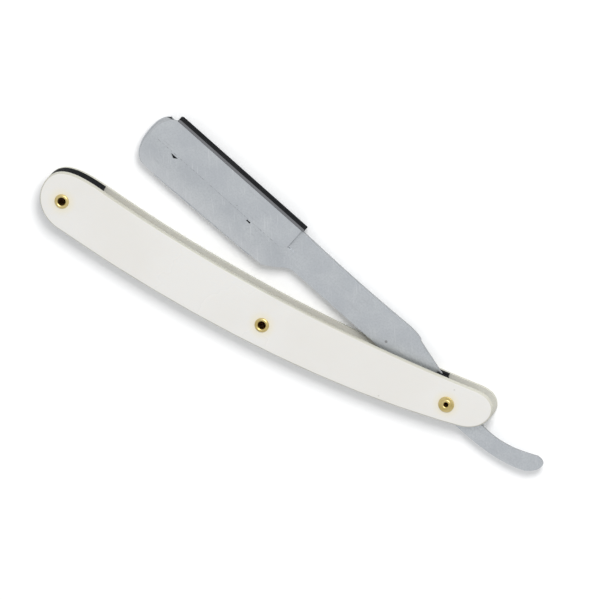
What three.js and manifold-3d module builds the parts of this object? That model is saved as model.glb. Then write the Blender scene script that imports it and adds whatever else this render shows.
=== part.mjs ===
// Folding straight razor with a replaceable half blade: two white scales, a hollow two-plate steel arm
// and a black insert that carries the blade. Millimetres, +Z up, lying on its rear scale.
// The razor is drawn with its pivot on the origin and its toe eyelet on -X, then centred at the end.
import * as THREE from 'three';
import { mergeVertices } from 'three/addons/utils/BufferGeometryUtils.js';
import Module from 'manifold-3d';

const wasm = await Module();
wasm.setup();

// ---- driving dimensions -------------------------------------------------------------------------

// Handle: two flat scales with a gap between them
const EYELET_SPAN = 132.5; // toe eyelet to pivot
const MIDDLE_EYELET = { x: -61.1, y: -5.2 };
const SCALE_THICKNESS = 1.5;
const SCALE_GAP = 4.2;
const SCALE_ROUND = 0.6; // rounding of a scale's outer edge
// Points round the toe, in from its nose, and the fullness of the curves that meet there
const NOSE = { reach: 7.5, y: 1.35, pullUp: 8.7, pullDown: 5.6 };
const TOE_TOP = { back: 17.4, y: 8.8, pull: 9.6 };
const TOE_BOTTOM = { back: 9.0, y: -8.4, pull: 4 };
const HEEL_TOP = { x: 6.5, y: 8.3 }; // ends of the curve round the pivot end
const HEEL_BOTTOM = { x: 6.2, y: -4.5 };
const HEEL_PULL = 10.0;
const UPPER_EDGE = { nearToe: { share: 0.64, y: 3.9 }, nearPivot: { share: 0.32, y: 3.0 } };
const LOWER_EDGE = { nearPivot: { share: 0.26, y: -14.0 }, nearToe: { share: 0.64, y: -14.5 } };

// Eyelets, washers and the pivot
const EYELET_RADIUS = 1.5;
const EYELET_BORE = 1.2;
const EYELET_RIM_RADIUS = 2.25;
const EYELET_RIM_HEIGHT = 0.5;
const PIVOT_RADIUS = 1.2;
const PIVOT_BORE = 0.75;
const PIVOT_RIM_RADIUS = 1.65;
const PIVOT_RIM_HEIGHT = 0.3;
const COLLAR_RADIUS = 2.45;
const COLLAR_THICKNESS = 0.35;
const RECESS_DEPTH = 0.6; // pocket in the rear scale that keeps its washers below the face
const WASHER_RADIUS = 2.3;
const WASHER_THICKNESS = 0.3;
const LIP_THICKNESS = 0.25;
const LIP_REACH = 0.5;
const SLEEVE_RADIUS = 2.2; // sleeve that keeps the scales apart at the middle eyelet
const HOLE_CLEARANCE = 0.15; // radial, between a tube or washer and the hole that it sits in
const PIVOT_FIT = 0.08; // radial, between the pivot tube and the arm that turns on it

// Arm: two mirrored steel plates, drawn along X with the tip at -X and the spine at +Y
const REST_ANGLE = 14.8; // degrees that the arm stands open from the eyelet line
const ARM_LENGTH = 122.7; // pivot to tip
const PLATE_THICKNESS = 0.5;
const SPINE_Y = 9.8; // upper edge of the shank
const SHANK_DIP = 0.8; // pull of the shank's slightly hollow upper edge
const SHANK_BOTTOM = -1.8;
const HOLDER_SPINE_Y = 10.2; // upper edge of the holder, which carries the insert's bar
const HOLDER_LENGTH = 55.1; // tip to the slit at the heel end of the hollow holder
const HOLDER_BELOW = 7.7; // pivot line to the holder's lower edge, at its middle
const HOLDER_EDGE_TAPER = 1.4; // degrees between the lower edge and the spine
const HOLDER_EDGE_SPAN = 46.0; // straight length of the lower edge
const HOLDER_EDGE_SETBACK = 5.9; // tip to that straight edge
const HOLLOW = 1.2; // inner face of a plate to the middle plane, along the spine
const HOLLOW_BELOW_CREASE = 0.9;
const HOLLOW_AT_EDGE = 0.15;
const CREASE_Y = 1.9;
const CREASE_WIDTH = 0.8;
const RIM_FLANGE = 0.3; // flat border where the plates meet round the tip
const RIM_SLOPE = 0.9; // width of the slope from that border up to the holder's face
const REAR_NOTCH = { from: 2.9, to: 5.0, y: 8.6 }; // cut in the rear plate's spine, from the tip
const RAMP_SETBACK = 1.9; // slit to the top of the ramp from the holder down to the shank
const RAMP_LENGTH = 5.5;
const SLIT_BOTTOM = 3.0;
const TAIL_END = { x: 31.0, y: -0.5 };
const TIP_CLEARANCE = 0.5; // between the sweep of the tip and the toe spacer

// Liners beside the tang, insert and blade
const LINER_RADIUS = 4.6;
const LINER_EAR = { from: -7.0, to: -3.6 }; // ear that reaches the upper edge of the handle
const RUNNING_CLEARANCE = 0.1; // between the tang and each liner
const INSERT_CLEARANCE = 0.15; // between the insert and the plates
const BAR_SETBACK = 4.9; // tip to the insert's bar
const BAR_OVERHANG = 0.6; // bar past the slit, over the shank
const BAR_SEAT = 0.05; // bar above the holder's spine
const BAR_DEPTH = 0.95;
const BAR_THICKNESS = 3.7;
const WEB_END_GAP = 1.3; // web shorter than the bar at the tip
const WEB_BOTTOM = -1.6;
const BLADE_LENGTH = 43.0;
const BLADE_EDGE_LENGTH = 37.8;
const BLADE_DEPTH = 11.0;
const BLADE_TAB_Y = 4.6; // cutting edge to the end tabs
const BLADE_THICKNESS = 0.1;
const BLADE_EXPOSURE = 0.55; // blade beyond the holder's lower edge
const BLADE_SLOT = 0.3;
const NOTCH_RADIUS = 1.8; // notches in the back of the blade, one round each stud
const NOTCH_PITCH = 14.0;
const STUD_RADIUS = 1.3;

// ---- values that follow from them ---------------------------------------------------------------

const HANDLE_THICKNESS = 2 * SCALE_THICKNESS + SCALE_GAP;
const MIDDLE_Z = HANDLE_THICKNESS / 2;
const TOE_X = -EYELET_SPAN;
const TIP_X = -ARM_LENGTH;
const SLIT_X = TIP_X + HOLDER_LENGTH;
const EDGE_TIP_X = TIP_X + HOLDER_EDGE_SETBACK;
const EDGE_HEEL_X = EDGE_TIP_X + HOLDER_EDGE_SPAN;
const EDGE_MIDDLE_X = (EDGE_TIP_X + EDGE_HEEL_X) / 2;
const RAMP_TOP_X = SLIT_X - RAMP_SETBACK;
const RAMP_FOOT_X = RAMP_TOP_X + RAMP_LENGTH;
const BAR_TIP_X = TIP_X + BAR_SETBACK;
const BAR_HEEL_X = SLIT_X + BAR_OVERHANG;
const TAPER_SLOPE = Math.tan(THREE.MathUtils.degToRad(HOLDER_EDGE_TAPER));
const WASHER_BOTTOM = RECESS_DEPTH - WASHER_THICKNESS;
const TUBE_HOLE = EYELET_RADIUS + HOLE_CLEARANCE;
const PIVOT_HOLE = PIVOT_RADIUS + HOLE_CLEARANCE;
const FAR = 40; // reach of a cutting block past whatever it cuts
const ROUND_SEGMENTS = 28;

const EYELETS = [
  { name: 'toe', x: TOE_X, y: 0 },
  { name: 'middle', x: MIDDLE_EYELET.x, y: MIDDLE_EYELET.y },
];

// ---- materials ----------------------------------------------------------------------------------

function material(color, roughness, metalness) {
  return new THREE.MeshStandardMaterial({ color, roughness, metalness });
}

const whitePlastic = () => material(0xe4e4de, 0.35, 0);
const blackPlastic = () => material(0x1d1f20, 0.45, 0);
const satinSteel = () => material(0xb2b8bc, 0.38, 1);
const bladeSteel = () => material(0xc4c9cd, 0.22, 1);
const brass = () => material(0xb89a55, 0.3, 1);

// ---- building helpers ---------------------------------------------------------------------------

function toSolid(geometry) {
  const bare = geometry.clone();
  bare.deleteAttribute('normal');
  bare.deleteAttribute('uv');
  const merged = mergeVertices(bare);
  return new wasm.Manifold(new wasm.Mesh({
    numProp: 3,
    vertProperties: Float32Array.from(merged.attributes.position.array),
    triVerts: Uint32Array.from(merged.index.array),
  }));
}

function toGeometry(solid) {
  const mesh = solid.getMesh();
  const positions = new THREE.BufferAttribute(Float32Array.from(mesh.vertProperties), 3);
  const geometry = new THREE.BufferGeometry();
  geometry.setAttribute('position', positions);
  geometry.setIndex(new THREE.BufferAttribute(Uint32Array.from(mesh.triVerts), 1));
  geometry.computeVertexNormals();
  return geometry;
}

function addPiece(group, name, solid, pieceMaterial) {
  const mesh = new THREE.Mesh(toGeometry(solid), pieceMaterial);
  mesh.name = name;
  group.add(mesh);
}

// A plate of an XY outline between two heights
function plate(outline, bottom, top, curveSegments = 12) {
  const depth = top - bottom;
  const geometry = new THREE.ExtrudeGeometry(outline, { depth, curveSegments, bevelEnabled: false });
  geometry.translate(0, 0, bottom);
  return toSolid(geometry);
}

function polygon(points) {
  return new THREE.Shape(points.map(([x, y]) => new THREE.Vector2(x, y)));
}

function box(x0, x1, y0, y1, z0, z1) {
  return plate(polygon([[x0, y0], [x1, y0], [x1, y1], [x0, y1]]), z0, z1);
}

// A bar along X whose section is drawn in Y and Z
function barAlongX(points, x0, x1) {
  const geometry = new THREE.ExtrudeGeometry(polygon(points), { depth: x1 - x0, bevelEnabled: false });
  const turn = new THREE.Matrix4().makeBasis(
    new THREE.Vector3(0, 1, 0),
    new THREE.Vector3(0, 0, 1),
    new THREE.Vector3(1, 0, 0),
  );
  geometry.applyMatrix4(turn);
  geometry.translate(x0, 0, 0);
  return toSolid(geometry);
}

// A bar along Y whose section is drawn in X and Z
function barAlongY(points, y0, y1) {
  const geometry = new THREE.ExtrudeGeometry(polygon(points), { depth: y1 - y0, bevelEnabled: false });
  geometry.rotateX(Math.PI / 2);
  geometry.translate(0, y1, 0);
  return toSolid(geometry);
}

function cylinder(radius, bottom, top, x = 0, y = 0, segments = ROUND_SEGMENTS) {
  const geometry = new THREE.CylinderGeometry(radius, radius, top - bottom, segments);
  geometry.rotateX(Math.PI / 2);
  geometry.translate(x, y, (top + bottom) / 2);
  return toSolid(geometry);
}

// A ring turned about Z from a closed profile of [radius, height] points
function turned(profile, x = 0, y = 0) {
  const closed = [...profile, profile[0]].map(([r, z]) => new THREE.Vector2(r, z));
  const geometry = new THREE.LatheGeometry(closed, ROUND_SEGMENTS);
  geometry.rotateX(Math.PI / 2);
  geometry.translate(x, y, 0);
  return toSolid(geometry);
}

function ring(inner, outer, bottom, top, x, y) {
  return turned([[inner, top], [inner, bottom], [outer, bottom], [outer, top]], x, y);
}

// ---- handle -------------------------------------------------------------------------------------

function awayFrom(point, control, length) {
  const dx = point.x - control.x;
  const dy = point.y - control.y;
  const step = length / Math.hypot(dx, dy);
  return { x: point.x + dx * step, y: point.y + dy * step };
}

// Five smooth curves: upper edge, round the pivot end, lower edge, and two round the toe
function handleOutline() {
  const nose = { x: TOE_X - NOSE.reach, y: NOSE.y };
  const toeTop = { x: nose.x + TOE_TOP.back, y: TOE_TOP.y };
  const toeBottom = { x: nose.x + TOE_BOTTOM.back, y: TOE_BOTTOM.y };
  const control = ({ share, y }) => ({ x: -share * EYELET_SPAN, y });
  const upperToe = control(UPPER_EDGE.nearToe);
  const upperPivot = control(UPPER_EDGE.nearPivot);
  const lowerPivot = control(LOWER_EDGE.nearPivot);
  const lowerToe = control(LOWER_EDGE.nearToe);
  const heelOut = awayFrom(HEEL_TOP, upperPivot, HEEL_PULL);
  const heelIn = awayFrom(HEEL_BOTTOM, lowerPivot, HEEL_PULL);
  const toeOut = awayFrom(toeBottom, lowerToe, TOE_BOTTOM.pull);
  const toeIn = awayFrom(toeTop, upperToe, TOE_TOP.pull);

  const shape = new THREE.Shape();
  const curve = (a, b, end) => shape.bezierCurveTo(a.x, a.y, b.x, b.y, end.x, end.y);
  shape.moveTo(toeTop.x, toeTop.y);
  curve(upperToe, upperPivot, HEEL_TOP);
  curve(heelOut, heelIn, HEEL_BOTTOM);
  curve(lowerPivot, lowerToe, toeBottom);
  curve(toeOut, { x: nose.x, y: nose.y - NOSE.pullDown }, nose);
  curve({ x: nose.x, y: nose.y + NOSE.pullUp }, toeIn, toeTop);
  return shape;
}

function drilled(solid, bottom, top) {
  let result = solid;
  for (const { x, y } of EYELETS) {
    result = result.subtract(cylinder(TUBE_HOLE, bottom - 1, top + 1, x, y));
  }
  return result.subtract(cylinder(PIVOT_HOLE, bottom - 1, top + 1));
}

// The whole handle block with rounded outer edges, from which both scales are cut
function handleBlock() {
  const geometry = new THREE.ExtrudeGeometry(handleOutline(), {
    depth: HANDLE_THICKNESS - 2 * SCALE_ROUND,
    curveSegments: 20,
    bevelThickness: SCALE_ROUND,
    bevelSize: SCALE_ROUND,
    bevelOffset: -SCALE_ROUND,
    bevelSegments: 3,
  });
  geometry.translate(0, 0, SCALE_ROUND);
  return toSolid(geometry);
}

function frontScale() {
  const inner = SCALE_THICKNESS + SCALE_GAP;
  const waste = box(TOE_X - FAR, FAR, -FAR, FAR, -1, inner);
  return drilled(handleBlock().subtract(waste), inner, HANDLE_THICKNESS);
}

function rearScale() {
  const waste = box(TOE_X - FAR, FAR, -FAR, FAR, SCALE_THICKNESS, HANDLE_THICKNESS + 1);
  let solid = drilled(handleBlock().subtract(waste), 0, SCALE_THICKNESS);
  for (const { x, y } of EYELETS) {
    solid = solid.subtract(cylinder(WASHER_RADIUS + HOLE_CLEARANCE, -1, RECESS_DEPTH, x, y));
  }
  return solid.subtract(cylinder(COLLAR_RADIUS + HOLE_CLEARANCE, -1, RECESS_DEPTH));
}

// Block between the scales at the toe, hollowed so that the arm's tip swings clear of it
function toeSpacer() {
  const bottom = SCALE_THICKNESS;
  const top = SCALE_THICKNESS + SCALE_GAP;
  const sweep = cylinder(ARM_LENGTH + TIP_CLEARANCE, bottom - 1, top + 1, 0, 0, 200);
  return drilled(plate(handleOutline(), bottom, top, 20).subtract(sweep), bottom, top);
}

// A tube with a rolled rim on the front and a lip turned out under its washer at the rear
function eyelet({ x, y }) {
  const front = HANDLE_THICKNESS;
  const crown = EYELET_RIM_HEIGHT;
  const width = EYELET_RIM_RADIUS - EYELET_BORE;
  return turned([
    [EYELET_BORE, front + 0.5 * crown],
    [EYELET_BORE, WASHER_BOTTOM - LIP_THICKNESS],
    [EYELET_RADIUS + LIP_REACH, WASHER_BOTTOM - LIP_THICKNESS],
    [EYELET_RADIUS + LIP_REACH, WASHER_BOTTOM],
    [EYELET_RADIUS, WASHER_BOTTOM],
    [EYELET_RADIUS, front],
    [EYELET_RIM_RADIUS - 0.1 * width, front],
    [EYELET_RIM_RADIUS, front + 0.4 * crown],
    [EYELET_RIM_RADIUS - 0.12 * width, front + 0.8 * crown],
    [EYELET_BORE + 0.6 * width, front + crown],
    [EYELET_BORE + 0.35 * width, front + crown],
    [EYELET_BORE + 0.12 * width, front + 0.8 * crown],
  ], x, y);
}

// The hollow rivet that the arm turns on, spread over its collar at the front
function pivotTube() {
  const seat = HANDLE_THICKNESS + COLLAR_THICKNESS;
  const top = seat + PIVOT_RIM_HEIGHT;
  return turned([
    [PIVOT_BORE, top - 0.15],
    [PIVOT_BORE, WASHER_BOTTOM - LIP_THICKNESS],
    [PIVOT_RIM_RADIUS, WASHER_BOTTOM - LIP_THICKNESS],
    [PIVOT_RIM_RADIUS, WASHER_BOTTOM],
    [PIVOT_RADIUS, WASHER_BOTTOM],
    [PIVOT_RADIUS, seat],
    [PIVOT_RIM_RADIUS, seat],
    [PIVOT_RIM_RADIUS, top - 0.15],
    [PIVOT_RIM_RADIUS - 0.2, top],
    [PIVOT_BORE + 0.12, top],
  ]);
}

// Bearing plate between the tang and a scale, with one ear up to the handle's upper edge
function liner(bottom) {
  const top = bottom + (SCALE_GAP - 2 * PLATE_THICKNESS) / 2 - RUNNING_CLEARANCE;
  const ear = polygon([
    [LINER_EAR.from, FAR],
    [LINER_EAR.from, 1.2 * LINER_RADIUS],
    [-LINER_RADIUS, 0],
    [-0.3 * LINER_RADIUS, 0.9 * LINER_RADIUS],
    [LINER_EAR.to, 1.35 * LINER_RADIUS],
    [LINER_EAR.to, FAR],
  ]);
  return cylinder(LINER_RADIUS, bottom, top)
    .add(plate(ear, bottom, top))
    .intersect(plate(handleOutline(), bottom, top, 20))
    .subtract(cylinder(PIVOT_HOLE, bottom - 1, top + 1));
}

function buildHandle(group) {
  const inner = SCALE_THICKNESS;
  const front = HANDLE_THICKNESS;
  const linerDepth = (SCALE_GAP - 2 * PLATE_THICKNESS) / 2 - RUNNING_CLEARANCE;
  addPiece(group, 'front_scale', frontScale(), whitePlastic());
  addPiece(group, 'rear_scale', rearScale(), whitePlastic());
  addPiece(group, 'toe_spacer', toeSpacer(), blackPlastic());
  for (const place of EYELETS) {
    const washer = ring(TUBE_HOLE, WASHER_RADIUS, WASHER_BOTTOM, RECESS_DEPTH, place.x, place.y);
    addPiece(group, `${place.name}_eyelet`, eyelet(place), brass());
    addPiece(group, `${place.name}_eyelet_washer`, washer, brass());
  }
  const { x, y } = MIDDLE_EYELET;
  addPiece(group, 'middle_spacer_sleeve', ring(TUBE_HOLE, SLEEVE_RADIUS, inner, inner + SCALE_GAP, x, y), brass());
  addPiece(group, 'pivot_tube_rivet', pivotTube(), brass());
  addPiece(group, 'pivot_front_collar', ring(PIVOT_HOLE, COLLAR_RADIUS, front, front + COLLAR_THICKNESS), brass());
  addPiece(group, 'pivot_rear_collar', ring(PIVOT_HOLE, COLLAR_RADIUS, WASHER_BOTTOM, RECESS_DEPTH), brass());
  addPiece(group, 'pivot_rear_liner', liner(inner), blackPlastic());
  addPiece(group, 'pivot_front_liner', liner(inner + SCALE_GAP - linerDepth), blackPlastic());
}

// ---- arm, drawn about its middle plane ----------------------------------------------------------

function edgeY(x) {
  return -HOLDER_BELOW + (x - EDGE_MIDDLE_X) * TAPER_SLOPE;
}

function armOutline() {
  const top = HOLDER_SPINE_Y;
  const tipEdge = edgeY(EDGE_TIP_X);
  const heelEdge = edgeY(EDGE_HEEL_X);
  const shape = new THREE.Shape();
  shape.moveTo(-24.5, SPINE_Y);
  shape.quadraticCurveTo((SLIT_X - 24.5) / 2, SPINE_Y - SHANK_DIP, SLIT_X, SPINE_Y);
  shape.lineTo(SLIT_X, top);
  // small step at the tip's corner, then round the tip to the lower edge of the holder
  shape.lineTo(TIP_X + 4.8, top);
  shape.lineTo(TIP_X + 4.0, top - 0.5);
  shape.lineTo(TIP_X + 3.0, top - 1.2);
  shape.bezierCurveTo(TIP_X + 1.5, top - 1.6, TIP_X, top - 3.6, TIP_X, 2.5);
  shape.bezierCurveTo(TIP_X - 0.1, -3.5, TIP_X + 1.9, tipEdge, EDGE_TIP_X, tipEdge);
  shape.lineTo(EDGE_HEEL_X, heelEdge);
  // up the heel to the shank
  shape.quadraticCurveTo(EDGE_HEEL_X + 0.9, heelEdge, EDGE_HEEL_X + 1.8, heelEdge + 0.7);
  shape.lineTo(EDGE_HEEL_X + 6.6, SHANK_BOTTOM - 1.1);
  shape.quadraticCurveTo(EDGE_HEEL_X + 8.0, SHANK_BOTTOM, EDGE_HEEL_X + 10.3, SHANK_BOTTOM);
  // shank, tang and tail
  shape.lineTo(-30, SHANK_BOTTOM);
  shape.bezierCurveTo(-18, SHANK_BOTTOM, -8, -4.3, 6, -4.4);
  shape.bezierCurveTo(14, -4.5, 24, -4.2, TAIL_END.x, TAIL_END.y);
  shape.bezierCurveTo(TAIL_END.x + 3.2, TAIL_END.y + 2.1, TAIL_END.x + 5, TAIL_END.y + 6.9, 31.2, 5.8);
  shape.bezierCurveTo(26, 3.2, 21, 0.6, 13, 1.2);
  shape.bezierCurveTo(7, 1.6, -1, 3.4, -8, 5.5);
  // small step where the thumb rest ends
  shape.lineTo(-18.4, 8.5);
  shape.lineTo(-18.8, 9.0);
  shape.quadraticCurveTo(-20.6, SPINE_Y, -24.5, SPINE_Y);
  return shape;
}

const HOLLOW_END_X = RAMP_FOOT_X + 14; // past the foot of the ramp

// Everything inside the sloping rim round the tip, up to the height of the holder's faces
function insideRim(lift) {
  const tip = TIP_X + RIM_FLANGE;
  const top = HOLDER_SPINE_Y;
  const edge = edgeY(EDGE_TIP_X);
  const outline = new THREE.Shape();
  outline.moveTo(HOLLOW_END_X, top + 5);
  outline.lineTo(tip + 5, top + 5);
  outline.lineTo(tip + 1.2, top - 2.2);
  outline.bezierCurveTo(tip + 0.3, top - 3.6, tip, 4.6, tip, 2.5);
  outline.bezierCurveTo(tip - 0.1, -3.5, tip + 1.9, edge + 0.2, EDGE_TIP_X, edge);
  outline.lineTo(EDGE_TIP_X + 3, edge - 6);
  outline.lineTo(HOLLOW_END_X, edge - 6);
  const geometry = new THREE.ExtrudeGeometry(outline, {
    depth: 4,
    curveSegments: 12,
    bevelThickness: HOLLOW,
    bevelSize: RIM_SLOPE,
    bevelOffset: -RIM_SLOPE,
    bevelSegments: 1,
  });
  geometry.translate(0, 0, lift - 4);
  return toSolid(geometry);
}

// The hollow of the holder above the middle plane, raised by lift: level behind the spine, falling
// from the crease to the lower edge, with a slit at its heel end and a ramp below the slit
function hollow(lift) {
  const top = lift + HOLLOW;
  const above = HOLDER_SPINE_Y + 5;
  const section = [
    [above, -3],
    [above, top],
    [CREASE_Y, top],
    [CREASE_Y - CREASE_WIDTH, lift + HOLLOW_BELOW_CREASE],
    [-HOLDER_BELOW, lift + HOLLOW_AT_EDGE],
    [-HOLDER_BELOW - 5, lift + HOLLOW_AT_EDGE],
    [-HOLDER_BELOW - 5, -3],
  ];
  const ramp = [
    [TIP_X - 5, -3],
    [RAMP_FOOT_X, -3],
    [RAMP_FOOT_X, lift],
    [RAMP_TOP_X, top],
    [TIP_X - 5, top],
  ];
  const aboveSlit = box(TIP_X - 5, SLIT_X, SLIT_BOTTOM, above, -3, top);
  return insideRim(lift)
    .intersect(barAlongX(section, TIP_X - 5, HOLLOW_END_X))
    .intersect(barAlongY(ramp, -FAR, SLIT_BOTTOM).add(aboveSlit));
}

function holderHoles() {
  const fromTip = (points) => polygon(points.map(([x, y]) => [TIP_X + x, y]));
  const triangle = fromTip([[9.8, 0.9], [11.3, 0], [12.5, 0.9]]);
  const slot = fromTip([[40.4, 0.6], [41.8, 0.6], [41.8, 1.1], [40.4, 1.1]]);
  return plate(triangle, -3, 5).add(plate(slot, -3, 5));
}

function armPlate() {
  const outline = armOutline();
  const raised = plate(outline, 0, FAR).intersect(hollow(PLATE_THICKNESS));
  return plate(outline, 0, PLATE_THICKNESS)
    .add(raised)
    .subtract(hollow(0))
    .subtract(holderHoles())
    .subtract(cylinder(PIVOT_RADIUS + PIVOT_FIT, -1, 2));
}

// ---- insert and blade ---------------------------------------------------------------------------

// From the blade's own frame, with Y = 0 on the holder's lower edge, to the frame of the arm
function placeAtEdge(solid) {
  return solid.rotate([0, 0, HOLDER_EDGE_TAPER]).translate([EDGE_MIDDLE_X, -HOLDER_BELOW, 0]);
}

const STUD_PLACES = [-NOTCH_PITCH, 0, NOTCH_PITCH];
const BLADE_BACK = BLADE_DEPTH - BLADE_EXPOSURE;

function bladeSlot() {
  const half = BLADE_LENGTH / 2 + INSERT_CLEARANCE;
  let slot = box(-half, half, 0, BLADE_BACK + INSERT_CLEARANCE, -BLADE_SLOT / 2, BLADE_SLOT / 2);
  for (const x of STUD_PLACES) {
    slot = slot.subtract(cylinder(STUD_RADIUS, -1, 1, x, BLADE_BACK));
  }
  return placeAtEdge(slot);
}

// Bar along the spine with a web that fills the holder and grips the blade
function bladeInsert() {
  const webHalf = HOLLOW - INSERT_CLEARANCE;
  const fall = (HOLLOW_BELOW_CREASE - HOLLOW_AT_EDGE) / (CREASE_Y - CREASE_WIDTH + HOLDER_BELOW);
  const creaseHalf = HOLLOW_BELOW_CREASE - INSERT_CLEARANCE;
  const bottomHalf = creaseHalf - fall * (CREASE_Y - CREASE_WIDTH - WEB_BOTTOM);
  const seat = HOLDER_SPINE_Y + BAR_SEAT;
  const upperSide = [
    [WEB_BOTTOM, bottomHalf],
    [CREASE_Y - CREASE_WIDTH, creaseHalf],
    [CREASE_Y, webHalf],
    [seat + BAR_DEPTH, webHalf],
  ];
  const lowerSide = upperSide.map(([y, z]) => [y, -z]).reverse();
  const web = barAlongX([...upperSide, ...lowerSide], BAR_TIP_X + WEB_END_GAP, RAMP_TOP_X - 0.3);

  const bar = new THREE.Shape();
  bar.moveTo(BAR_HEEL_X, seat);
  bar.lineTo(BAR_HEEL_X, seat + BAR_DEPTH);
  bar.lineTo(BAR_TIP_X + 0.9, seat + BAR_DEPTH);
  bar.quadraticCurveTo(BAR_TIP_X, seat + BAR_DEPTH, BAR_TIP_X, seat + 0.3 * BAR_DEPTH);
  bar.lineTo(BAR_TIP_X + 0.3, seat);
  return plate(bar, -BAR_THICKNESS / 2, BAR_THICKNESS / 2).add(web).subtract(bladeSlot());
}

// Half of a double-edge blade: tabs at both ends and notches along its back
function razorBlade() {
  const edgeHalf = BLADE_EDGE_LENGTH / 2;
  const tabHalf = BLADE_LENGTH / 2;
  const tabY = BLADE_TAB_Y - BLADE_EXPOSURE;
  const outline = polygon([
    [-edgeHalf, -BLADE_EXPOSURE],
    [edgeHalf, -BLADE_EXPOSURE],
    [edgeHalf, tabY - 0.6],
    [edgeHalf + 0.6, tabY],
    [tabHalf, tabY],
    [tabHalf, BLADE_BACK],
    [-tabHalf, BLADE_BACK],
    [-tabHalf, tabY],
    [-edgeHalf - 0.6, tabY],
    [-edgeHalf, tabY - 0.6],
  ]);
  let blade = plate(outline, -BLADE_THICKNESS / 2, BLADE_THICKNESS / 2);
  for (const x of STUD_PLACES) {
    blade = blade.subtract(cylinder(NOTCH_RADIUS, -1, 1, x, BLADE_BACK));
  }
  return placeAtEdge(blade);
}

function buildArm(group) {
  const place = (solid) => solid.translate([0, 0, MIDDLE_Z]).rotate([0, 0, -REST_ANGLE]);
  const { from, to, y } = REAR_NOTCH;
  const notch = box(TIP_X + from, TIP_X + to, y, HOLDER_SPINE_Y + 1, -1, 5);
  addPiece(group, 'arm_front_plate', place(armPlate()), satinSteel());
  addPiece(group, 'arm_rear_plate', place(armPlate().subtract(notch).mirror([0, 0, 1])), satinSteel());
  addPiece(group, 'blade_insert', place(bladeInsert()), blackPlastic());
  addPiece(group, 'razor_blade', place(razorBlade()), bladeSteel());
}

// ---- whole razor, centred on the floor ----------------------------------------------------------

function buildRazor() {
  const razor = new THREE.Group();
  razor.name = 'straight_razor';
  buildHandle(razor);
  buildArm(razor);
  const bounds = new THREE.Box3().setFromObject(razor);
  const middle = bounds.getCenter(new THREE.Vector3());
  for (const mesh of razor.children) {
    mesh.geometry.translate(-middle.x, -middle.y, -bounds.min.z);
  }
  return razor;
}

export default buildRazor();
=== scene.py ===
"""Folding straight razor with white plastic scales, a satin steel arm and a black blade insert.

The finish and the soft edges of every piece are made here, round the fixed frame. Lengths are in metres.
"""

import math

import bpy
from mathutils import Matrix, Vector


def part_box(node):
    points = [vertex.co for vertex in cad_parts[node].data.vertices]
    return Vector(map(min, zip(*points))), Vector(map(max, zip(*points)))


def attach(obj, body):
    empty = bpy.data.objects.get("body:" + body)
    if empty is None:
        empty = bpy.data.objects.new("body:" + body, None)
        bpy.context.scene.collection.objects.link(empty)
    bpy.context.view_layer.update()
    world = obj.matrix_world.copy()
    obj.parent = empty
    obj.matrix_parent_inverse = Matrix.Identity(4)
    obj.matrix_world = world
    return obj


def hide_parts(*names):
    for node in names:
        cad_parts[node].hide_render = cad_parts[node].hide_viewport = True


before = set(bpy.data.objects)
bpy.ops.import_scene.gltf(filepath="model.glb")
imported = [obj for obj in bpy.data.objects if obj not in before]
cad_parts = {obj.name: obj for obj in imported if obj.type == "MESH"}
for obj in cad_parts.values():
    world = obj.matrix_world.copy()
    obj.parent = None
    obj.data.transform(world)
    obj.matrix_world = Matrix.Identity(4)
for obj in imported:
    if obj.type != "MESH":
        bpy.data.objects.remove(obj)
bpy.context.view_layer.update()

MM = 0.001
UP = Vector((0.0, 0.0, 1.0))

HANDLE = "handle"
ARM = "arm"
INSERT = "insert"
EYELETS = ("toe_eyelet", "middle_eyelet")
RIVET = "pivot_tube_rivet"
COLLAR = "pivot_front_collar"


def node_centre(node):
    low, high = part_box(node)
    return (Vector(low) + Vector(high)) / 2


def face_height():
    """Height of the handle's front face."""
    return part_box("front_scale")[1][2]


# ---- camera and light ---------------------------------------------------------------------------

VIEW_TILT = math.radians(22.0)    # camera away from straight above
VIEW_LEAN = math.radians(74.76)   # compass direction of that tilt, from +X
VIEW_ROLL = math.radians(48.0)    # where that direction points across the view
VIEW_DISTANCE = 6.0               # a long lens, so that both ends of the razor show at one scale
VIEW_WIDTH = 181.82 * MM          # width of the view at the razor
VIEW_FROM_PIVOT = Vector((-53.91 * MM, 7.83 * MM, 0.0))  # middle of the view, from the pivot
NEAR_CLIP = 50.0 * MM

KEY_RIGHT = 0.14                  # lean of the key light to the right and upwards, for 1 towards the camera
KEY_UP = 0.34
KEY_DISTANCE = 1.1
KEY_SIZE = 0.42
KEY_POWER = 8.0
SKY_COLOUR = (0.98, 0.99, 1.0, 1.0)
SKY_STRENGTH = 0.72

FLOOR_SIZE = 6.0
FLOOR_HEIGHT = -0.2 * MM


def view_axes():
    """The camera's right, up and back directions."""
    lean = Vector((math.cos(VIEW_LEAN), math.sin(VIEW_LEAN), 0.0))
    across = lean.cross(UP)
    rise = lean * math.cos(VIEW_TILT) - UP * math.sin(VIEW_TILT)
    back = lean * math.sin(VIEW_TILT) + UP * math.cos(VIEW_TILT)
    right = rise * math.cos(VIEW_ROLL) + across * math.sin(VIEW_ROLL)
    up = rise * math.sin(VIEW_ROLL) - across * math.cos(VIEW_ROLL)
    return right, up, back


def make_camera():
    right, up, back = view_axes()
    centre = node_centre(RIVET) + VIEW_FROM_PIVOT
    centre.z = face_height()
    bpy.ops.object.camera_add()
    camera = bpy.context.object
    camera.name = "camera"
    turn = Matrix((right, up, back)).transposed().to_4x4()
    camera.matrix_world = Matrix.Translation(centre + back * VIEW_DISTANCE) @ turn
    camera.data.lens = camera.data.sensor_width * VIEW_DISTANCE / VIEW_WIDTH
    camera.data.clip_start = NEAR_CLIP
    camera.data.dof.use_dof = False
    bpy.context.scene.camera = camera


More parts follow.
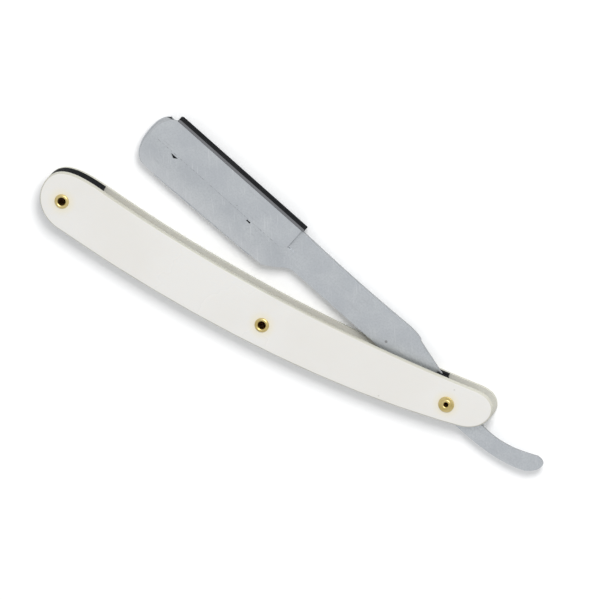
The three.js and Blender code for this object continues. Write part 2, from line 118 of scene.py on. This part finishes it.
def make_key_light():
    """A square softbox beside the camera."""
    right, up, back = view_axes()
    aim = (right * KEY_RIGHT + up * KEY_UP + back).normalized()
    bpy.ops.object.light_add(type="AREA", location=aim * KEY_DISTANCE)
    light = bpy.context.object
    light.name = "key_softbox"
    light.data.size = KEY_SIZE
    light.data.energy = KEY_POWER
    light.rotation_mode = "QUATERNION"
    light.rotation_quaternion = aim.to_track_quat("Z", "Y")


def make_sky():
    world = bpy.data.worlds.new("studio")
    bpy.context.scene.world = world
    bpy.context.scene.view_settings.view_transform = "Standard"
    world.use_nodes = True
    background = world.node_tree.nodes["Background"]
    background.inputs["Color"].default_value = SKY_COLOUR
    background.inputs["Strength"].default_value = SKY_STRENGTH


def make_floor():
    bpy.ops.object.select_all(action="DESELECT")
    bpy.ops.mesh.primitive_plane_add(size=FLOOR_SIZE, location=(0.0, 0.0, FLOOR_HEIGHT))
    floor = bpy.context.object
    floor.name = "floor"
    floor.data.materials.append(floor_finish())


# ---- node building ------------------------------------------------------------------------------

class Nodes:
    """Adds and links nodes in one tree."""

    def __init__(self, tree):
        self.tree = tree

    def add(self, kind, values=None, **settings):
        node = self.tree.nodes.new("ShaderNode" + kind)
        for key, value in settings.items():
            setattr(node, key, value)
        for key, value in (values or {}).items():
            self.feed(node.inputs[key], value)
        return node

    def feed(self, socket, value):
        if isinstance(value, bpy.types.NodeSocket):
            self.tree.links.new(value, socket)
        else:
            socket.default_value = value

    def math(self, operation, first, second=0.0):
        return self.add("Math", {0: first, 1: second}, operation=operation).outputs[0]

    def split(self, vector):
        """The X, Y and Z of a vector."""
        return self.add("SeparateXYZ", {0: vector}).outputs

    def noise(self, vector, scale, detail=3.0, roughness=0.5):
        values = {"Vector": vector, "Scale": scale, "Detail": detail, "Roughness": roughness}
        return self.add("TexNoise", values).outputs["Fac"]

    def span(self, value, low, high, to_low=0.0, to_high=1.0, smooth=False):
        """The value carried from the range low..high to the range to_low..to_high, and held there."""
        node = self.add("MapRange", {"Value": value}, clamp=True)
        if smooth:
            node.interpolation_type = "SMOOTHSTEP"
        for key, amount in (("From Min", low), ("From Max", high), ("To Min", to_low), ("To Max", to_high)):
            self.feed(node.inputs[key], amount)
        return node.outputs["Result"]

    def mix(self, factor, first, second):
        """The first colour where the factor is 0, the second where it is 1."""
        node = self.add("Mix", data_type="RGBA")
        self.feed(node.inputs[0], factor)
        self.feed(node.inputs[6], first)
        self.feed(node.inputs[7], second)
        return node.outputs[2]

    def tint(self, colour, mask, strength, second):
        """The colour with a part of the second one laid over it where the mask is 1."""
        return self.mix(self.math("MULTIPLY", mask, strength), colour, second)

    def group(self, tree, **values):
        node = self.tree.nodes.new("ShaderNodeGroup")
        node.node_tree = tree
        for key, value in values.items():
            self.feed(node.inputs[key], value)
        return node.outputs


def new_group(name, inputs, outputs):
    """A shader group with named sockets: inputs is {name: default}, vectors have no default."""
    tree = bpy.data.node_groups.new(name, "ShaderNodeTree")
    for label, default in inputs.items():
        kind = "NodeSocketVector" if default is None else "NodeSocketFloat"
        socket = tree.interface.new_socket(name=label, in_out="INPUT", socket_type=kind)
        if default is not None:
            socket.default_value = default
    for label in outputs:
        tree.interface.new_socket(name=label, in_out="OUTPUT", socket_type="NodeSocketFloat")
    nodes = Nodes(tree)
    entry = tree.nodes.new("NodeGroupInput").outputs
    leave = tree.nodes.new("NodeGroupOutput").inputs
    return tree, nodes, entry, leave


def make_scratches():
    """Hair-fine scratches along the local X direction, broken up by a slow noise."""
    inputs = {"Vector": None, "Density": 900.0, "Stretch": 30.0, "Coverage": 0.35}
    tree, nodes, entry, leave = new_group("Hairline Scratches", inputs, ("Mask",))
    x, y, z = nodes.split(entry["Vector"])
    slow_x = nodes.math("DIVIDE", x, entry["Stretch"])
    stretched = nodes.add("CombineXYZ", {0: slow_x, 1: y, 2: z}).outputs[0]
    lines = nodes.noise(stretched, entry["Density"], 2.0, 0.7)
    sharp = nodes.span(lines, 0.6, 0.72)
    patches = nodes.noise(entry["Vector"], 60.0, 2.0)
    limit = nodes.math("SUBTRACT", 1.0, entry["Coverage"])
    shown = nodes.span(patches, limit, nodes.math("ADD", limit, 0.2))
    nodes.feed(leave["Mask"], nodes.math("MULTIPLY", sharp, shown))
    return tree


def make_handling():
    """Broad uneven smudges with a finer mottle beside them."""
    inputs = {"Vector": None, "Size": 45.0, "Mottle": 700.0}
    tree, nodes, entry, leave = new_group("Handling Marks", inputs, ("Smudge", "Grain"))
    broad = nodes.noise(entry["Vector"], entry["Size"], 4.0, 0.55)
    fine = nodes.noise(entry["Vector"], entry["Mottle"], 3.0, 0.6)
    nodes.feed(leave["Smudge"], nodes.span(broad, 0.35, 0.7, smooth=True))
    nodes.feed(leave["Grain"], fine)
    return tree


def make_specks():
    """Sparse dark pits and specks of dirt."""
    inputs = {"Vector": None, "Spacing": 260.0, "Radius": 0.16, "Coverage": 0.25}
    tree, nodes, entry, leave = new_group("Small Specks", inputs, ("Mask",))
    cells = nodes.add("TexVoronoi", {"Vector": entry["Vector"], "Scale": entry["Spacing"]}).outputs
    chance = nodes.add("SeparateColor", {0: cells["Color"]}).outputs[0]
    chosen = nodes.span(chance, nodes.math("SUBTRACT", 1.0, entry["Coverage"]), 1.0)
    reach = nodes.math("MULTIPLY", entry["Radius"], chosen)
    nodes.feed(leave["Mask"], nodes.math("LESS_THAN", cells["Distance"], reach))
    return tree


def make_ring_reflection():
    """A soft painted reflection round an upright axis: 1 at the rim, 0 beyond the reach."""
    inputs = {"Vector": None, "Centre": None, "Rim": 2.2 * MM, "Reach": 5.0 * MM}
    tree, nodes, entry, leave = new_group("Ring Reflection", inputs, ("Mask",))
    offset = nodes.add("VectorMath", {0: entry["Vector"], 1: entry["Centre"]}, operation="SUBTRACT")
    flat = nodes.add("VectorMath", {0: offset.outputs[0], 1: (1.0, 1.0, 0.0)}, operation="MULTIPLY")
    away = nodes.add("VectorMath", {0: flat.outputs[0]}, operation="LENGTH").outputs["Value"]
    nodes.feed(leave["Mask"], nodes.span(away, entry["Rim"], entry["Reach"], 1.0, 0.0, smooth=True))
    return tree


def make_upright():
    """1 where the surface stands upright, 0 where it lies flat."""
    inputs = {"Normal": None, "Steep": 0.8, "Flat": 1.0}
    tree, nodes, entry, leave = new_group("Upright Faces", inputs, ("Mask",))
    level = nodes.math("ABSOLUTE", nodes.split(entry["Normal"])[2])
    nodes.feed(leave["Mask"], nodes.span(level, entry["Steep"], entry["Flat"], 1.0, 0.0))
    return tree


SCRATCHES = make_scratches()
HANDLING = make_handling()
SPECKS = make_specks()
RING_REFLECTION = make_ring_reflection()
UPRIGHT = make_upright()


def new_material(name, **settings):
    """A material with its Principled shader's plain sockets set, and object coordinates to hand."""
    material = bpy.data.materials.new(name)
    material.use_nodes = True
    nodes = Nodes(material.node_tree)
    shader = material.node_tree.nodes["Principled BSDF"]
    for key, value in settings.items():
        shader.inputs[key.replace("_", " ")].default_value = value
    place = nodes.add("TexCoord").outputs["Object"]
    return material, nodes, shader, place


def upright(nodes, steep, flat):
    """Mask of the faces that stand upright, faded out between two amounts of levelness."""
    facing = nodes.add("TexCoord").outputs["Normal"]
    return nodes.group(UPRIGHT, Normal=facing, Steep=steep, Flat=flat)["Mask"]


def turned_place(nodes, place, angle):
    """Coordinates turned about Z so that their X runs along a piece that lies at that angle."""
    return nodes.add("Mapping", {"Vector": place, "Rotation": (0.0, 0.0, -angle)}).outputs[0]


def arm_place(nodes, place):
    """Coordinates from the pivot, with X along the arm."""
    centre = tuple(node_centre(RIVET))
    from_pivot = nodes.add("VectorMath", {0: place, 1: centre}, operation="SUBTRACT").outputs[0]
    return turned_place(nodes, from_pivot, ARM_ANGLE)


def add_bump(nodes, shader, height, strength, distance):
    bump = nodes.add("Bump", {"Height": height, "Strength": strength, "Distance": distance})
    nodes.feed(shader.inputs["Normal"], bump.outputs["Normal"])


# ---- finishes -----------------------------------------------------------------------------------

ARM_ANGLE = math.radians(-14.8)     # direction of the arm against the handle
GRAIN_ANGLE = math.radians(119.0)   # direction of the rolled grain in the steel sheet

# from the pivot, along the arm and across it
CREASE_Y = 1.5 * MM
CREASE_TIP_X = -119.5 * MM
CREASE_HEEL_X = -69.5 * MM
BAR_Y = 9.8 * MM                    # lower side of the insert's bar

FLOOR_TONES = (0.975, 0.975, 0.975, 1), (0.99, 0.99, 0.99, 1)

IVORY = (0.712, 0.700, 0.674, 1), (0.690, 0.674, 0.640, 1)
# yellower tone of cut plastic, darkened further as painted shade on the upright edges
SAWN_IVORY_AND_SHADE = (0.515, 0.508, 0.440, 1), (0.480, 0.468, 0.400, 1)
# painted reflection of the brass on the plastic round the eyelets
BRASS_REFLECTION = (0.72, 0.66, 0.48, 1)
HANDLE_DIRT = (0.35, 0.33, 0.28, 1)
INNER_FACE_SHADE = 0.65                   # how much of the cut edges' yellower tone and painted shade is laid on the inner faces of the scales

BLACK = (0.007, 0.0075, 0.0085, 1), (0.012, 0.0125, 0.014, 1)
SCUFF_GREY = (0.08, 0.08, 0.08, 1)
# painted sheen on the flat faces of the bar
BAR_SHEEN_GREY = (0.155, 0.157, 0.165, 1)

STEEL = (0.60, 0.625, 0.655, 1), (0.67, 0.695, 0.715, 1)
STEEL_MOTTLE = (0.52, 0.545, 0.57, 1)
STEEL_GRAIN = (0.80, 0.815, 0.83, 1)
# painted reflection on the slope below the crease
STEEL_SLOPE_SHEEN = (0.80, 0.81, 0.82, 1)
STEEL_STREAK = (0.40, 0.41, 0.43, 1)
# painted shade in the crease line
STEEL_CREASE_SHADE = (0.24, 0.245, 0.26, 1)
# painted shade on the upright cut edges of the sheets
STEEL_EDGE_SHADE = (0.27, 0.275, 0.285, 1)
STEEL_PIT = (0.16, 0.15, 0.14, 1)

BLADE = (0.50, 0.53, 0.57, 1), (0.62, 0.64, 0.66, 1)
BLADE_GRIND = (0.8, 0.81, 0.82, 1)

BRASS = (0.74, 0.60, 0.28, 1), (0.62, 0.49, 0.19, 1)
# painted shade down in the bores
BRASS_BORE_SHADE = (0.40, 0.22, 0.08, 1)


def floor_finish():
    material, nodes, shader, place = new_material("pale_floor", Roughness=0.9, Specular_IOR_Level=0.1)
    tone = nodes.noise(place, 4.0, 2.0)
    nodes.feed(shader.inputs["Base Color"], nodes.mix(tone, *FLOOR_TONES))
    return material


def sawn_and_shaded_faces(nodes, place):
    """Mask of the scales' cut edges and, in part, their inner faces, where a yellower cut-plastic tone and
    painted shade are laid on.
    """
    half = face_height() / 2
    from_middle = nodes.math("ABSOLUTE", nodes.math("SUBTRACT", nodes.split(place)[2], half))
    inside = nodes.span(from_middle, half - 0.3 * MM, half - 0.1 * MM, 1.0, 0.0)
    return nodes.math("MAXIMUM", upright(nodes, 0.86, 0.99), nodes.math("MULTIPLY", inside, INNER_FACE_SHADE))


def white_plastic():
    """Polished off-white plastic with fine scratches, a painted reflection of the brass round the eyelets,
    and painted shade on its cut edges.
    """
    material, nodes, shader, place = new_material("white_plastic", IOR=1.49, Subsurface_Weight=0.08)
    shader.inputs["Subsurface Radius"].default_value = (1.2 * MM, 1.0 * MM, 0.8 * MM)
    marks = nodes.group(HANDLING, Vector=place, Size=38.0, Mottle=900.0)
    scratches = nodes.group(SCRATCHES, Vector=place, Density=1100.0, Stretch=90.0, Coverage=0.4)["Mask"]
    specks = nodes.group(SPECKS, Vector=place, Spacing=150.0, Radius=0.06, Coverage=0.05)["Mask"]
    colour = nodes.mix(marks["Smudge"], *IVORY)
    for node in EYELETS + (COLLAR,):
        # painted reflection of the brass, yellowing the plastic round each eyelet and the collar
        brass_reflection = nodes.group(RING_REFLECTION, Vector=place, Centre=tuple(node_centre(node)))["Mask"]
        colour = nodes.tint(colour, brass_reflection, 0.5, BRASS_REFLECTION)
    colour = nodes.tint(colour, specks, 0.35, HANDLE_DIRT)
    # cut edges and inner faces: the yellower tone of cut plastic, darkened further by painted shade because
    # they face away from the light
    sawn_and_shade = sawn_and_shaded_faces(nodes, place)
    colour = nodes.mix(sawn_and_shade, colour, nodes.mix(marks["Smudge"], *SAWN_IVORY_AND_SHADE))
    nodes.feed(shader.inputs["Base Color"], colour)
    rough = nodes.span(marks["Smudge"], 0.0, 1.0, 0.26, 0.4)
    rough = nodes.math("ADD", rough, nodes.math("MULTIPLY", sawn_and_shade, 0.2))
    rough = nodes.math("ADD", rough, nodes.math("MULTIPLY", scratches, 0.18))
    nodes.feed(shader.inputs["Roughness"], rough)
    height = nodes.math("SUBTRACT", nodes.math("MULTIPLY", marks["Grain"], 0.25), scratches)
    add_bump(nodes, shader, height, 0.05, 0.04 * MM)
    return material


def black_plastic():
    """Moulded black plastic with a fine satin grain, a few grey scuffs and a painted sheen on the flat
    faces of the bar.
    """
    material, nodes, shader, place = new_material("black_plastic", IOR=1.5, Specular_IOR_Level=0.008)
    marks = nodes.group(HANDLING, Vector=place, Size=70.0, Mottle=2600.0)
    along = arm_place(nodes, place)
    scuffs = nodes.group(SCRATCHES, Vector=along, Density=1500.0, Stretch=18.0, Coverage=0.4)["Mask"]
    colour = nodes.mix(marks["Smudge"], *BLACK)
    colour = nodes.tint(colour, scuffs, 0.25, SCUFF_GREY)
    # painted sheen: the flat faces of the bar are made lighter grey, as if catching the light
    on_bar = nodes.span(nodes.split(along)[1], BAR_Y, BAR_Y + 0.1 * MM)
    level = nodes.math("SUBTRACT", 1.0, upright(nodes, 0.75, 0.97))
    colour = nodes.mix(nodes.math("MULTIPLY", on_bar, level), colour, BAR_SHEEN_GREY)
    nodes.feed(shader.inputs["Base Color"], colour)
    nodes.feed(shader.inputs["Roughness"], nodes.span(marks["Grain"], 0.3, 0.7, 0.36, 0.52))
    add_bump(nodes, shader, marks["Grain"], 0.25, 0.03 * MM)
    return material


def crease_shade_line(nodes, along):
    """Mask of a thin broken line of painted shade along the crease of the holder."""
    x, y, _ = nodes.split(along)
    aside = nodes.math("ABSOLUTE", nodes.math("SUBTRACT", y, CREASE_Y))
    line = nodes.span(aside, 0.05 * MM, 0.16 * MM, 0.6, 0.0)
    from_tip = nodes.span(x, CREASE_TIP_X, CREASE_TIP_X + MM)
    to_heel = nodes.span(x, CREASE_HEEL_X - MM, CREASE_HEEL_X, 1.0, 0.0)
    only_x = nodes.add("CombineXYZ", {0: x}).outputs[0]
    dashes = nodes.span(nodes.noise(only_x, 900.0, 3.0, 0.7), 0.46, 0.56)
    length = nodes.math("MULTIPLY", from_tip, to_heel)
    return nodes.math("MULTIPLY", nodes.math("MULTIPLY", line, dashes), length)


def slope_sheen(nodes, along):
    """Mask of the slope between the crease of the holder and its edge, where a painted reflection lightens
    it.
    """
    x, y, _ = nodes.split(along)
    slope = nodes.span(y, CREASE_Y - 9.0 * MM, CREASE_Y - 3.0 * MM, 1.0, 0.0)
    to_heel = nodes.span(x, CREASE_HEEL_X - 2.0 * MM, CREASE_HEEL_X + 4.0 * MM, 1.0, 0.0)
    return nodes.math("MULTIPLY", slope, to_heel)


def satin_steel():
    """Tumbled stainless sheet: soft mottle, fine grain, painted shade along the crease and on the upright
    edges, a painted reflection on the slope, and small dark pits.
    """
    material, nodes, shader, place = new_material("satin_steel", Metallic=1.0)
    along = arm_place(nodes, place)
    across = turned_place(nodes, place, GRAIN_ANGLE)
    marks = nodes.group(HANDLING, Vector=along, Size=120.0, Mottle=1700.0)
    streaks = nodes.group(SCRATCHES, Vector=along, Density=1300.0, Stretch=12.0, Coverage=0.6)["Mask"]
    grain = nodes.group(SCRATCHES, Vector=across, Density=1500.0, Stretch=16.0, Coverage=0.75)["Mask"]
    pits = nodes.group(SPECKS, Vector=along, Spacing=230.0, Radius=0.14, Coverage=0.16)["Mask"]
    colour = nodes.mix(marks["Smudge"], *STEEL)
    colour = nodes.mix(nodes.span(marks["Grain"], 0.35, 0.65, 0.0, 0.55), colour, STEEL_MOTTLE)
    colour = nodes.tint(colour, grain, 0.45, STEEL_GRAIN)
    # painted reflection: the slope below the crease is made lighter
    colour = nodes.tint(colour, slope_sheen(nodes, along), 0.35, STEEL_SLOPE_SHEEN)
    colour = nodes.tint(colour, streaks, 0.2, STEEL_STREAK)
    # painted shade: a thin dark broken line along the crease
    colour = nodes.mix(crease_shade_line(nodes, along), colour, STEEL_CREASE_SHADE)
    # painted shade: the upright cut edges of the sheets are darkened
    colour = nodes.tint(colour, upright(nodes, 0.45, 0.85), 0.75, STEEL_EDGE_SHADE)
    colour = nodes.tint(colour, pits, 0.55, STEEL_PIT)
    nodes.feed(shader.inputs["Base Color"], colour)
    rough = nodes.span(marks["Grain"], 0.3, 0.7, 0.38, 0.54)
    rough = nodes.math("SUBTRACT", rough, nodes.math("MULTIPLY", streaks, 0.1))
    nodes.feed(shader.inputs["Roughness"], rough)
    height = nodes.math("ADD", marks["Grain"], nodes.math("MULTIPLY", streaks, 0.6))
    add_bump(nodes, shader, height, 0.22, 0.03 * MM)
    return material


def blade_steel():
    """Thin hardened strip with bright grinding marks across it."""
    material, nodes, shader, place = new_material("blade_steel", Metallic=1.0)
    along = turned_place(nodes, place, ARM_ANGLE)
    across = turned_place(nodes, along, math.pi / 2)
    grind = nodes.group(SCRATCHES, Vector=across, Density=2400.0, Stretch=20.0, Coverage=0.7)["Mask"]
    marks = nodes.group(HANDLING, Vector=along, Size=160.0, Mottle=2200.0)
    colour = nodes.tint(nodes.mix(marks["Smudge"], *BLADE), grind, 0.4, BLADE_GRIND)
    nodes.feed(shader.inputs["Base Color"], colour)
    nodes.feed(shader.inputs["Roughness"], nodes.span(marks["Grain"], 0.3, 0.7, 0.18, 0.3))
    add_bump(nodes, shader, grind, 0.15, 0.02 * MM)
    return material


def brass():
    """Rolled brass, with painted shade that darkens and browns it down in the bores."""
    material, nodes, shader, place = new_material("brass", Metallic=1.0)
    marks = nodes.group(HANDLING, Vector=place, Size=420.0, Mottle=3200.0)
    face = face_height()
    # painted shade: darker and browner deeper down in the bores
    bore_shade = nodes.span(nodes.split(place)[2], face - 1.2 * MM, face + 0.1 * MM, 1.0, 0.0, smooth=True)
    colour = nodes.mix(bore_shade, nodes.mix(marks["Smudge"], *BRASS), BRASS_BORE_SHADE)
    nodes.feed(shader.inputs["Base Color"], colour)
    nodes.feed(shader.inputs["Roughness"], nodes.span(marks["Grain"], 0.3, 0.7, 0.3, 0.45))
    add_bump(nodes, shader, marks["Grain"], 0.2, 0.03 * MM)
    return material


# ---- pieces -------------------------------------------------------------------------------------

MERGE_DISTANCE = 0.002 * MM
FLAT_ANGLE = math.radians(0.4)      # faces this close to one plane become one face
EDGE_ANGLE = math.radians(40.0)     # edges sharper than this are rounded
SMOOTH_ANGLE = math.radians(35.0)

SCALE_EDGE = 0.05 * MM
SPACER_EDGE = 0.08 * MM
SHEET_EDGE = 0.06 * MM
INSERT_EDGE = 0.15 * MM

RING_STEPS = 72
RING_SMOOTH_ANGLE = math.radians(50.0)
REAR_LIP = 0.25 * MM

EYELET_BORE = 1.2 * MM
EYELET_WALL = 1.5 * MM
EYELET_RIM = 2.25 * MM
EYELET_CROWN = 0.5 * MM
EYELET_REAR = 2.0 * MM
EYELET_TUCK = 0.06 * MM             # the rim's foot turned in under its crown

RIVET_BORE = 0.75 * MM
RIVET_WALL = 1.2 * MM
RIVET_RIM = 1.65 * MM

COLLAR_HOLE = 1.35 * MM
COLLAR_RADIUS = 2.45 * MM
COLLAR_ROUND = 0.16 * MM


def only_select(piece):
    if bpy.context.object and bpy.context.object.mode != "OBJECT":
        bpy.ops.object.mode_set(mode="OBJECT")
    bpy.ops.object.select_all(action="DESELECT")
    piece.select_set(True)
    bpy.context.view_layer.objects.active = piece


def apply_modifier(piece, kind, **settings):
    only_select(piece)
    modifier = piece.modifiers.new(kind.lower(), kind)
    for key, value in settings.items():
        setattr(modifier, key, value)
    bpy.ops.object.modifier_apply(modifier=modifier.name)


def finish_piece(piece, body, slot, material, *nodes):
    piece.data.materials.clear()
    piece.data.materials.append(material)
    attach(piece, body)
    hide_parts(*nodes)


def dressed_copy(node, name, body, slot, material, edge, segments=2):
    """A copy of a node with merged faces and rounded edges, which stands for that node."""
    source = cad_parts[node]
    piece = source.copy()
    piece.data = source.data.copy()
    piece.name = name
    piece.parent = None
    bpy.context.scene.collection.objects.link(piece)
    only_select(piece)
    bpy.ops.object.mode_set(mode="EDIT")
    bpy.ops.mesh.select_all(action="SELECT")
    bpy.ops.mesh.remove_doubles(threshold=MERGE_DISTANCE)
    bpy.ops.mesh.dissolve_limited(angle_limit=FLAT_ANGLE)
    bpy.ops.object.mode_set(mode="OBJECT")
    apply_modifier(piece, "BEVEL", width=edge, segments=segments, limit_method="ANGLE",
                   angle_limit=EDGE_ANGLE, use_clamp_overlap=True, harden_normals=False)
    only_select(piece)
    bpy.ops.object.shade_smooth_by_angle(angle=SMOOTH_ANGLE)
    apply_modifier(piece, "WEIGHTED_NORMAL", keep_sharp=True, weight=100)
    finish_piece(piece, body, slot, material, node)


def spun_piece(name, centre, profile):
    """A ring turned about an upright axis from a closed profile of (radius, height) points."""
    if bpy.context.object and bpy.context.object.mode != "OBJECT":
        bpy.ops.object.mode_set(mode="OBJECT")
    bpy.ops.object.select_all(action="DESELECT")
    bpy.ops.mesh.primitive_circle_add(vertices=len(profile), radius=1.0, fill_type="NOTHING")
    piece = bpy.context.object
    piece.name = name
    for vertex, (radius, height) in zip(piece.data.vertices, profile):
        vertex.co = (centre.x + radius, centre.y, height)
    bpy.ops.object.mode_set(mode="EDIT")
    bpy.ops.mesh.select_all(action="SELECT")
    bpy.ops.mesh.spin(steps=RING_STEPS, angle=2 * math.pi, center=(centre.x, centre.y, 0.0), axis=UP)
    bpy.ops.mesh.select_all(action="SELECT")
    bpy.ops.mesh.remove_doubles(threshold=MERGE_DISTANCE / 2)
    bpy.ops.mesh.normals_make_consistent(inside=False)
    bpy.ops.object.mode_set(mode="OBJECT")
    only_select(piece)
    bpy.ops.object.shade_smooth_by_angle(angle=RING_SMOOTH_ANGLE)
    return piece


def arc(centre, radius, start, end, count):
    """Points on an arc in the (radius, height) plane, angles in degrees."""
    points = []
    for step in range(count + 1):
        angle = math.radians(start + (end - start) * step / count)
        points.append((centre[0] + radius * math.cos(angle), centre[1] + radius * math.sin(angle)))
    return points


def rolled_crown(bore, rim, foot, rise, count):
    """The rolled end of a tube, from its bore over to its rim."""
    roll = (rim - bore) / 2
    points = arc((bore + roll, 0.0), roll, 180, 0, count)
    return [(x, foot + max(z, 0.0) * rise / roll) for x, z in points]


def make_eyelets(material):
    face = face_height()
    for node in EYELETS:
        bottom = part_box(node)[0][2]
        profile = rolled_crown(EYELET_BORE, EYELET_RIM, face, EYELET_CROWN, 14) + [
            (EYELET_RIM - EYELET_TUCK, face),
            (EYELET_WALL, face),
            (EYELET_WALL, bottom + REAR_LIP),
            (EYELET_REAR, bottom + REAR_LIP),
            (EYELET_REAR, bottom),
            (EYELET_BORE, bottom),
        ]
        piece = spun_piece(node + "_rolled", node_centre(node), profile)
        finish_piece(piece, HANDLE, "brass", material, node)


def make_pivot_collar(material):
    face = face_height()
    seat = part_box(COLLAR)[1][2]
    profile = [
        (COLLAR_HOLE, seat),
        (COLLAR_HOLE, face),
        (COLLAR_RADIUS, face),
        (COLLAR_RADIUS, seat - COLLAR_ROUND),
    ]
    profile += arc((COLLAR_RADIUS - COLLAR_ROUND, seat - COLLAR_ROUND), COLLAR_ROUND, 0, 90, 5)
    piece = spun_piece("pivot_collar_turned", node_centre(RIVET), profile)
    finish_piece(piece, HANDLE, "brass", material, COLLAR)


def make_pivot_rivet(material):
    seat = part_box(COLLAR)[1][2]
    low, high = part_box(RIVET)
    bottom, top = low[2], high[2]
    profile = rolled_crown(RIVET_BORE, RIVET_RIM, seat, top - seat, 12) + [
        (RIVET_WALL, seat),
        (RIVET_WALL, bottom + REAR_LIP),
        (RIVET_RIM, bottom + REAR_LIP),
        (RIVET_RIM, bottom),
        (RIVET_BORE, bottom),
    ]
    piece = spun_piece("pivot_rivet_rolled", node_centre(RIVET), profile)
    finish_piece(piece, HANDLE, "brass", material, RIVET)


def dress_nodes(material, *nodes):
    """The plain meshes of small or hidden nodes, in their own finish."""
    for node in nodes:
        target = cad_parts[node]
        target.data.materials.clear()
        target.data.materials.append(material)


def build_razor():
    white = white_plastic()
    black = black_plastic()
    steel = satin_steel()
    rolled = brass()
    dressed_copy("front_scale", "front_scale_polished", HANDLE, "white_plastic", white, SCALE_EDGE)
    dressed_copy("rear_scale", "rear_scale_polished", HANDLE, "white_plastic", white, SCALE_EDGE)
    dressed_copy("toe_spacer", "toe_spacer_moulded", HANDLE, "black_plastic", black, SPACER_EDGE)
    dressed_copy("arm_front_plate", "arm_front_stamped", ARM, "satin_steel", steel, SHEET_EDGE)
    dressed_copy("arm_rear_plate", "arm_rear_stamped", ARM, "satin_steel", steel, SHEET_EDGE)
    dressed_copy("blade_insert", "insert_moulded", INSERT, "black_plastic", black, INSERT_EDGE, 3)
    make_eyelets(rolled)
    make_pivot_collar(rolled)
    make_pivot_rivet(rolled)
    dress_nodes(black, "pivot_front_liner", "pivot_rear_liner")
    dress_nodes(rolled, "toe_eyelet_washer", "middle_eyelet_washer")
    dress_nodes(rolled, "middle_spacer_sleeve", "pivot_rear_collar")
    dress_nodes(blade_steel(), "razor_blade")


make_camera()
make_key_light()
make_sky()
make_floor()
build_razor()
